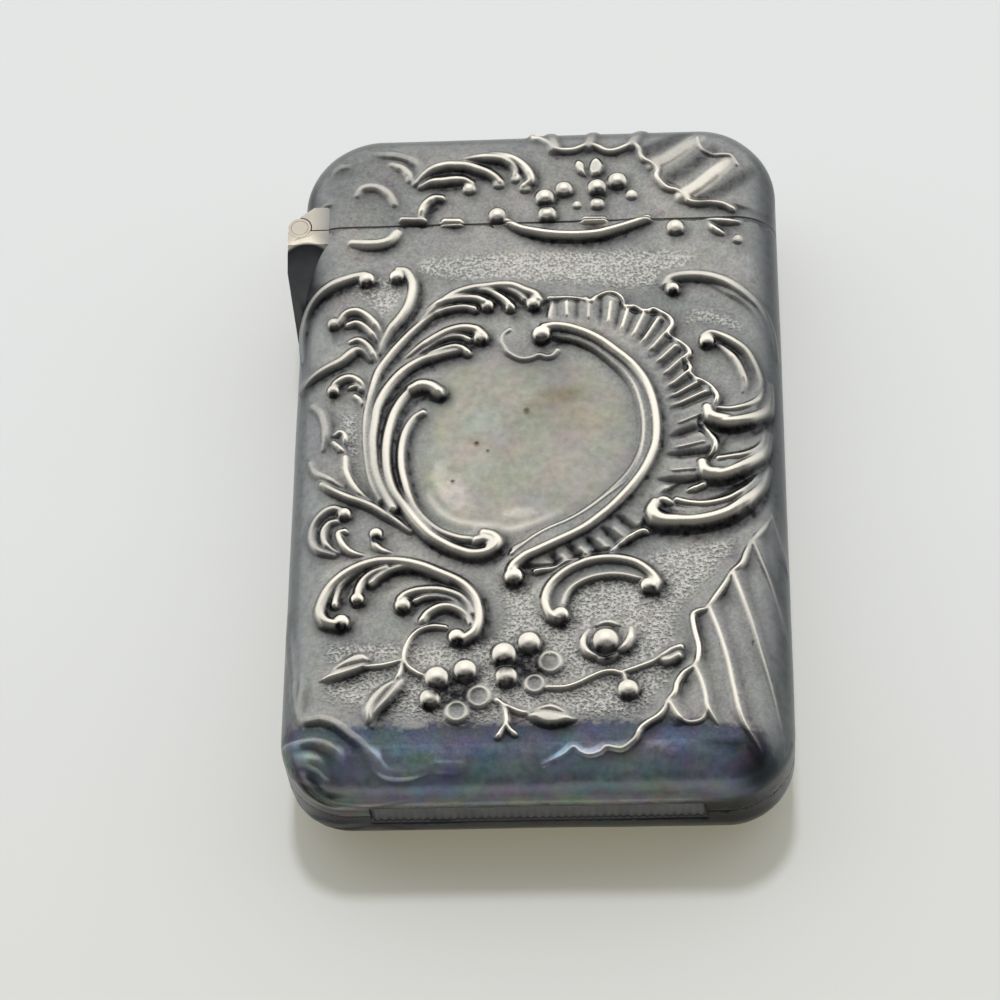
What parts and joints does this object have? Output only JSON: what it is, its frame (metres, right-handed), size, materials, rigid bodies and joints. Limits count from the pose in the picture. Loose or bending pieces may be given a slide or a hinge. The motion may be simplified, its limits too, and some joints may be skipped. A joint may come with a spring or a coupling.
{
  "type": "vesta case",
  "caption": "Flat pocket match case of die-struck silver with a side-hinged snap lid over an inner collar, scrollwork relief and a ribbed striker let into the bottom end.",
  "frame": {"origin": "centre of the bounding box on the surface that the case lies on, under its back", "axes": "+Y along the length towards the lid, +Z out of the decorated front, +X across the width away from the hinge"},
  "size_m": [0.041, 0.062, 0.0127],
  "materials": {
    "silver": "oxidised silver, dark in the hollows and worn bright on the high points",
    "silver_inside": "plain silver, slightly toned",
    "steel": "dark steel"
  },
  "bodies": {
    "case": {"body_front": "silver", "body_back": "silver", "collar": "silver_inside", "striker_seat": "silver_inside", "striker": "steel", "body_bearer": "silver", "body_knuckle_front": "silver", "body_knuckle_back": "silver", "hinge_pin": "steel", "lid_spring": "steel", "spring_rivets": "steel"},
    "lid": {"lid_front": "silver", "lid_back": "silver", "lid_bearer": "silver", "lid_knuckle": "silver", "lid_heel": "silver_inside"}
  },
  "joints": [
    {"name": "lid_hinge", "type": "hinge", "parent": "case", "child": "lid", "pos_m": [-0.01957, 0.0208, 0.0062], "axis": [0, 0, 1], "range_deg": [0, 105]}
  ]
}
